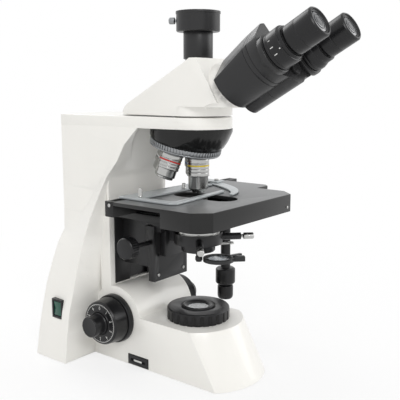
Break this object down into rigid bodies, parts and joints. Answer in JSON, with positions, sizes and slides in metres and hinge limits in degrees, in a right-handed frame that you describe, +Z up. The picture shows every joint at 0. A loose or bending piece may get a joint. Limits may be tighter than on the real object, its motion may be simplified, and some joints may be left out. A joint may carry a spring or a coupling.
{
  "type": "trinocular microscope",
  "caption": "Upright laboratory microscope with a flared stand, coaxial focus knobs, mechanical stage, substage condenser, turning nosepiece, inclined eyepieces and a camera port",
  "frame": {"origin": "where the optical axis of the upright light path meets the table the stand rests on", "axes": "+Z up along the optical axis and the camera port, -Y towards the user and the eyepieces, +Y towards the arm, +X to the user's right"},
  "size_m": [0.2316, 0.3443, 0.3951],
  "materials": {
    "enamel": "semi-gloss",
    "black_paint": "satin",
    "black_plastic": "satin",
    "rubber": "matte",
    "steel": "satin",
    "chrome": "polished",
    "grey_metal": "satin",
    "glass": "clear",
    "blue_glass": "clear",
    "green_plastic": "glossy"
  },
  "bodies": {
    "stand": {"stand_casting": "enamel", "base_cover": "black_paint", "rubber_feet": "rubber", "arm_top_plate": "enamel", "guide_plate": "black_paint", "focus_collar": "black_plastic", "field_lens_mount": "black_paint", "field_lens": "glass", "lamp": "glass", "switch_bezel": "black_plastic", "brightness_plate": "black_plastic", "mains_inlet": "black_plastic", "nosepiece_shell": "black_paint"},
    "rocker": {"switch_rocker": "green_plastic"},
    "brightness": {"brightness_slider": "steel"},
    "collar": {"field_collar": "black_paint"},
    "tension": {"tension_ring": "black_plastic"},
    "coarse_drive": {"coarse_knobs": "black_plastic"},
    "fine_drive": {"fine_knobs": "black_plastic"},
    "stage_carrier": {"stage_bracket": "black_paint", "stage_base": "black_paint", "condenser_guide": "black_paint"},
    "y_stage": {"stage_plate": "black_paint", "x_rail": "black_paint"},
    "x_stage": {"x_carriage": "steel", "slide_holder": "steel", "holder_screws": "chrome"},
    "finger": {"spring_finger": "steel"},
    "y_control": {"y_drive_knob": "black_plastic"},
    "x_control": {"x_drive_knob": "black_plastic"},
    "condenser_drive": {"condenser_knob": "black_plastic"},
    "condenser": {"condenser_holder": "black_paint", "condenser_body": "black_paint", "condenser_lens": "glass"},
    "centring_left": {"centring_screw_left": "steel"},
    "centring_right": {"centring_screw_right": "steel"},
    "iris": {"iris_lever": "steel"},
    "filter_swing": {"filter_holder": "black_paint", "filter_glass": "blue_glass"},
    "nosepiece": {"turret": "grey_metal", "objective_10x": "chrome", "objective_4x": "chrome", "objective_100x": "chrome", "objective_40x": "chrome", "objective_lenses": "glass"},
    "head": {"head_body": "enamel", "photo_tube": "black_paint", "camera_flange": "black_paint"},
    "head_lock": {"head_lock_screw": "black_plastic"},
    "port_lock": {"port_screw": "grey_metal"},
    "splitter": {"splitter_rod": "black_plastic"},
    "left_ocular": {"prism_housing_left": "black_paint", "eyepiece_tube_left": "black_paint", "eyepiece_left": "black_plastic", "eye_lens_left": "glass"},
    "right_ocular": {"prism_housing_right": "black_paint", "eyepiece_tube_right": "black_paint", "eyepiece_right": "black_plastic", "eye_lens_right": "glass"},
    "diopter": {"diopter_ring": "black_plastic"}
  },
  "joints": [
    {"name": "rocker_pivot", "type": "hinge", "parent": "stand", "child": "rocker", "pos_m": [-0.0805, 0.1445, 0.0605], "axis": [0, 1, 0], "range_deg": [-8, 8]},
    {"name": "brightness_slide", "type": "slide", "parent": "stand", "child": "brightness", "axis": [0, 1, 0], "range_m": [-0.008, 0.008]},
    {"name": "field_collar_turn", "type": "hinge", "parent": "stand", "child": "collar", "pos_m": [0, 0, 0.066], "axis": [0, 0, 1], "continuous": true},
    {"name": "tension_turn", "type": "hinge", "parent": "stand", "child": "tension", "pos_m": [0, 0.0844, 0.053], "axis": [1, 0, 0], "range_deg": [-45, 45]},
    {"name": "coarse_turn", "type": "hinge", "parent": "stand", "child": "coarse_drive", "pos_m": [0, 0.0844, 0.053], "axis": [1, 0, 0], "range_deg": [-335, 30]},
    {"name": "fine_turn", "type": "hinge", "parent": "stand", "child": "fine_drive", "pos_m": [0, 0.0844, 0.053], "axis": [1, 0, 0], "continuous": true},
    {"name": "focus_travel", "type": "slide", "parent": "stand", "child": "stage_carrier", "axis": [0, 0, 1], "range_m": [-0.022, 0.0015]},
    {"name": "stage_y", "type": "slide", "parent": "stage_carrier", "child": "y_stage", "axis": [0, 1, 0], "range_m": [-0.025, 0.025]},
    {"name": "stage_x", "type": "slide", "parent": "y_stage", "child": "x_stage", "axis": [1, 0, 0], "range_m": [-0.038, 0.038]},
    {"name": "finger_swing", "type": "hinge", "parent": "x_stage", "child": "finger", "pos_m": [0.082, 0.036, 0.2], "axis": [0, 0, -1], "range_deg": [-25, 0], "stiffness_Nm_per_rad": 0.02, "springref_deg": 5.73},
    {"name": "y_knob_turn", "type": "hinge", "parent": "y_stage", "child": "y_control", "pos_m": [0.1052, 0.038, 0.076], "axis": [0, 0, 1], "range_deg": [-240, 240]},
    {"name": "x_knob_turn", "type": "hinge", "parent": "y_stage", "child": "x_control", "pos_m": [0.1052, 0.038, 0.055], "axis": [0, 0, 1], "range_deg": [-362, 362]},
    {"name": "condenser_knob_turn", "type": "hinge", "parent": "stage_carrier", "child": "condenser_drive", "pos_m": [0, 0.0462, 0.1445], "axis": [1, 0, 0], "range_deg": [-40, 265]},
    {"name": "condenser_travel", "type": "slide", "parent": "stage_carrier", "child": "condenser", "axis": [0, 0, 1], "range_m": [-0.022, 0.003]},
    {"name": "centring_left_travel", "type": "slide", "parent": "condenser", "child": "centring_left", "axis": [-0.766, -0.6428, 0], "range_m": [0, 0.003]},
    {"name": "centring_right_travel", "type": "slide", "parent": "condenser", "child": "centring_right", "axis": [0.7071, -0.7071, 0], "range_m": [0, 0.003]},
    {"name": "iris_turn", "type": "hinge", "parent": "condenser", "child": "iris", "pos_m": [0, 0, 0.1418], "axis": [0, 0, 1], "range_deg": [-38, 38]},
    {"name": "filter_swing_turn", "type": "hinge", "parent": "condenser", "child": "filter_swing", "pos_m": [-0.011, -0.0095, 0.1315], "axis": [0, 0, 1], "range_deg": [-75, 0]},
    {"name": "nosepiece_turn", "type": "hinge", "parent": "stand", "child": "nosepiece", "pos_m": [0, 0.01941, 0.24584], "axis": [0, 0.2419, -0.9703], "continuous": true},
    {"name": "head_turn", "type": "hinge", "parent": "stand", "child": "head", "pos_m": [0, 0, 0.29], "axis": [0, 0, 1], "continuous": true},
    {"name": "head_lock_travel", "type": "slide", "parent": "stand", "child": "head_lock", "axis": [0.9439, -0.3304, 0], "range_m": [0, 0.003]},
    {"name": "port_lock_travel", "type": "slide", "parent": "head", "child": "port_lock", "axis": [-0.3987, 0.9171, 0], "range_m": [0, 0.003]},
    {"name": "splitter_travel", "type": "slide", "parent": "head", "child": "splitter", "axis": [1, 0, 0], "range_m": [0, 0.01]},
    {"name": "left_ocular_swing", "type": "hinge", "parent": "head", "child": "left_ocular", "pos_m": [0, -0.09079, 0.32011], "axis": [0, -0.866, 0.5], "range_deg": [-18, 15]},
    {"name": "right_ocular_swing", "type": "hinge", "parent": "head", "child": "right_ocular", "pos_m": [0, -0.09079, 0.32011], "axis": [0, -0.866, 0.5], "range_deg": [-15, 18]},
    {"name": "diopter_turn", "type": "hinge", "parent": "left_ocular", "child": "diopter", "pos_m": [-0.03125, -0.12203, 0.352], "axis": [0, -0.866, 0.5], "range_deg": [-60, 60]}
  ],
  "couplings": [
    {"joint": "coarse_turn", "follows": "focus_travel", "rad_per_m": 261.8},
    {"joint": "condenser_knob_turn", "follows": "condenser_travel", "rad_per_m": -209.4},
    {"joint": "y_knob_turn", "follows": "stage_y", "rad_per_m": 165.3},
    {"joint": "x_knob_turn", "follows": "stage_x", "rad_per_m": -165.3},
    {"joint": "right_ocular_swing", "follows": "left_ocular_swing", "ratio": -1}
  ]
}
